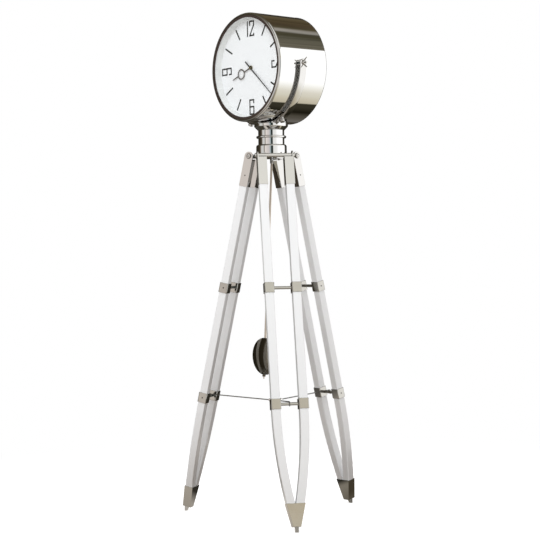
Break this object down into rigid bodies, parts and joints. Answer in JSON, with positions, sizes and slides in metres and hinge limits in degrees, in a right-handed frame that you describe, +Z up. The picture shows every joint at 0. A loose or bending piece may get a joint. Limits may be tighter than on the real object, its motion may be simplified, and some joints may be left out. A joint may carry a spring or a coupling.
{
  "type": "tripod floor clock",
  "caption": "Floor clock with a round chromed case in a tilting yoke on a tripod of paired white bars, with a spreader and a pendulum hung between the legs.",
  "frame": {"origin": "on the floor, in the middle of the bounding box's plan; the column's axis stands 82.3 mm in front of it", "axes": "+Z up; -Y is the front, where the dial faces; +X is to the right seen from the front"},
  "size_m": [0.6564, 0.5772, 1.815],
  "materials": {
    "chrome": "polished chrome plate",
    "chrome_fittings": "polished chrome plate",
    "white_lacquer": "smooth glossy white lacquer",
    "dial_white": "satin white paint",
    "dial_marks": "gloss warm grey",
    "hand_black": "satin black paint",
    "hand_bronze": "satin bronze paint",
    "brass_nut": "plain turned brass",
    "gasket_brown": "matt",
    "clear_glass": "clear float glass",
    "black_plastic": "fine matt",
    "zinc_steel": "satin zinc plate"
  },
  "bodies": {
    "stand_head": {"head_block": "chrome_fittings", "post_column": "chrome", "pivot_rods": "chrome_fittings", "pivot_nuts": "chrome_fittings", "pendulum_drive": "black_plastic", "pendulum_hanger": "zinc_steel"},
    "leg_left": {"leg_left_bar_a": "white_lacquer", "leg_left_bar_b": "white_lacquer", "leg_left_top_shoes": "chrome_fittings", "leg_left_clamps": "chrome_fittings", "leg_left_rungs": "chrome_fittings", "leg_left_screws": "zinc_steel", "leg_left_foot_cap": "chrome_fittings", "leg_left_toe": "zinc_steel"},
    "leg_right": {"leg_right_bar_a": "white_lacquer", "leg_right_bar_b": "white_lacquer", "leg_right_top_shoes": "chrome_fittings", "leg_right_clamps": "chrome_fittings", "leg_right_rungs": "chrome_fittings", "leg_right_screws": "zinc_steel", "leg_right_foot_cap": "chrome_fittings", "leg_right_toe": "zinc_steel"},
    "leg_rear": {"leg_rear_bar_a": "white_lacquer", "leg_rear_bar_b": "white_lacquer", "leg_rear_top_shoes": "chrome_fittings", "leg_rear_clamps": "chrome_fittings", "leg_rear_rungs": "chrome_fittings", "leg_rear_screws": "zinc_steel", "leg_rear_foot_cap": "chrome_fittings", "leg_rear_toe": "zinc_steel"},
    "spreader_hub": {"spreader_hub": "chrome_fittings"},
    "tie_rod_left": {"tie_rod_left": "chrome_fittings"},
    "tie_rod_right": {"tie_rod_right": "chrome_fittings"},
    "tie_rod_rear": {"tie_rod_rear": "chrome_fittings"},
    "yoke": {"yoke_cup": "chrome", "yoke_strap": "chrome_fittings", "yoke_arm_left": "chrome_fittings", "yoke_arm_right": "chrome_fittings", "yoke_bolts": "chrome_fittings"},
    "clock_head": {"case_shell": "chrome", "bezel_ring": "chrome", "bezel_gasket": "gasket_brown", "front_glass": "clear_glass", "dial_ring": "dial_white", "dial_plate": "dial_white", "dial_markings": "dial_marks", "movement_case": "black_plastic", "movement_nut": "brass_nut", "back_cover": "zinc_steel", "back_cover_screws": "zinc_steel", "trunnion_studs": "chrome_fittings"},
    "hour_hand": {"hour_hand": "hand_bronze"},
    "minute_hand": {"minute_hand": "hand_black", "hand_nut": "brass_nut"},
    "set_knob": {"set_knob": "black_plastic"},
    "wing_nut_left": {"wing_nut_left": "chrome_fittings"},
    "wing_nut_right": {"wing_nut_right": "chrome_fittings"},
    "pendulum_rod": {"pendulum_rod": "chrome_fittings"},
    "pendulum_bob": {"pendulum_bob": "chrome"},
    "rating_nut": {"rating_nut": "brass_nut"}
  },
  "joints": [
    {"name": "head_swivel", "type": "hinge", "parent": "stand_head", "child": "yoke", "pos_m": [0, -0.08235, 1.3978], "axis": [0, 0, 1], "continuous": true},
    {"name": "case_tilt", "type": "hinge", "parent": "yoke", "child": "clock_head", "pos_m": [0, -0.10435, 1.62], "axis": [1, 0, 0], "range_deg": [-2, 4.5]},
    {"name": "wing_nut_left_turn", "type": "hinge", "parent": "clock_head", "child": "wing_nut_left", "pos_m": [-0.209, -0.10435, 1.62], "axis": [-1, 0, 0], "continuous": true},
    {"name": "wing_nut_right_turn", "type": "hinge", "parent": "clock_head", "child": "wing_nut_right", "pos_m": [0.209, -0.10435, 1.62], "axis": [1, 0, 0], "continuous": true},
    {"name": "minute_hand_turn", "type": "hinge", "parent": "clock_head", "child": "minute_hand", "pos_m": [0, -0.17635, 1.62], "axis": [0, 1, 0], "continuous": true},
    {"name": "hour_hand_turn", "type": "hinge", "parent": "clock_head", "child": "hour_hand", "pos_m": [0, -0.17435, 1.62], "axis": [0, 1, 0], "continuous": true},
    {"name": "set_knob_turn", "type": "hinge", "parent": "clock_head", "child": "set_knob", "pos_m": [0, -0.15105, 1.607], "axis": [0, 1, 0], "continuous": true},
    {"name": "pendulum_swing", "type": "hinge", "parent": "stand_head", "child": "pendulum_rod", "pos_m": [0, -0.08235, 1.284], "axis": [0, 1, 0], "range_deg": [-10.3, 0.7]},
    {"name": "bob_slide", "type": "slide", "parent": "pendulum_rod", "child": "pendulum_bob", "axis": [0.0837, 0, 0.9965], "range_m": [-0.0021, 0.0021]},
    {"name": "rating_nut_turn", "type": "hinge", "parent": "pendulum_bob", "child": "rating_nut", "pos_m": [-0.05958, -0.08235, 0.5745], "axis": [0.0837, 0, 0.9965], "range_deg": [-1083, 1083]},
    {"name": "leg_fold_left", "type": "hinge", "parent": "stand_head", "child": "leg_left", "pos_m": [-0.05586, -0.1146, 1.3043], "axis": [0.5, -0.866, 0], "range_deg": [0, 6]},
    {"name": "leg_fold_right", "type": "hinge", "parent": "stand_head", "child": "leg_right", "pos_m": [0.05586, -0.1146, 1.3043], "axis": [0.5, 0.866, 0], "range_deg": [0, 6]},
    {"name": "leg_fold_rear", "type": "hinge", "parent": "stand_head", "child": "leg_rear", "pos_m": [0, -0.01785, 1.3043], "axis": [-1, 0, 0], "range_deg": [0, 6]},
    {"name": "hub_slide", "type": "slide", "parent": "stand_head", "child": "spreader_hub", "axis": [0, 0, 1], "range_m": [-0.025, 0]},
    {"name": "tie_hinge_left", "type": "hinge", "parent": "spreader_hub", "child": "tie_rod_left", "pos_m": [-0.02079, -0.09435, 0.4183], "axis": [0.5, -0.866, 0], "range_deg": [-6.1, 0]},
    {"name": "tie_hinge_right", "type": "hinge", "parent": "spreader_hub", "child": "tie_rod_right", "pos_m": [0.02079, -0.09435, 0.4183], "axis": [0.5, 0.866, 0], "range_deg": [-6.1, 0]},
    {"name": "tie_hinge_rear", "type": "hinge", "parent": "spreader_hub", "child": "tie_rod_rear", "pos_m": [0, -0.05835, 0.4183], "axis": [-1, 0, 0], "range_deg": [-6.1, 0]}
  ],
  "couplings": [
    {"joint": "hour_hand_turn", "follows": "minute_hand_turn", "ratio": 0.083333},
    {"joint": "set_knob_turn", "follows": "minute_hand_turn", "ratio": 1},
    {"joint": "rating_nut_turn", "follows": "bob_slide", "rad_per_m": 8976},
    {"joint": "leg_fold_right", "follows": "leg_fold_left", "ratio": 1},
    {"joint": "leg_fold_rear", "follows": "leg_fold_left", "ratio": 1},
    {"joint": "hub_slide", "follows": "leg_fold_left", "m_per_rad": -0.232},
    {"joint": "tie_hinge_left", "follows": "leg_fold_left", "ratio": -1},
    {"joint": "tie_hinge_right", "follows": "leg_fold_left", "ratio": -1},
    {"joint": "tie_hinge_rear", "follows": "leg_fold_left", "ratio": -1}
  ]
}
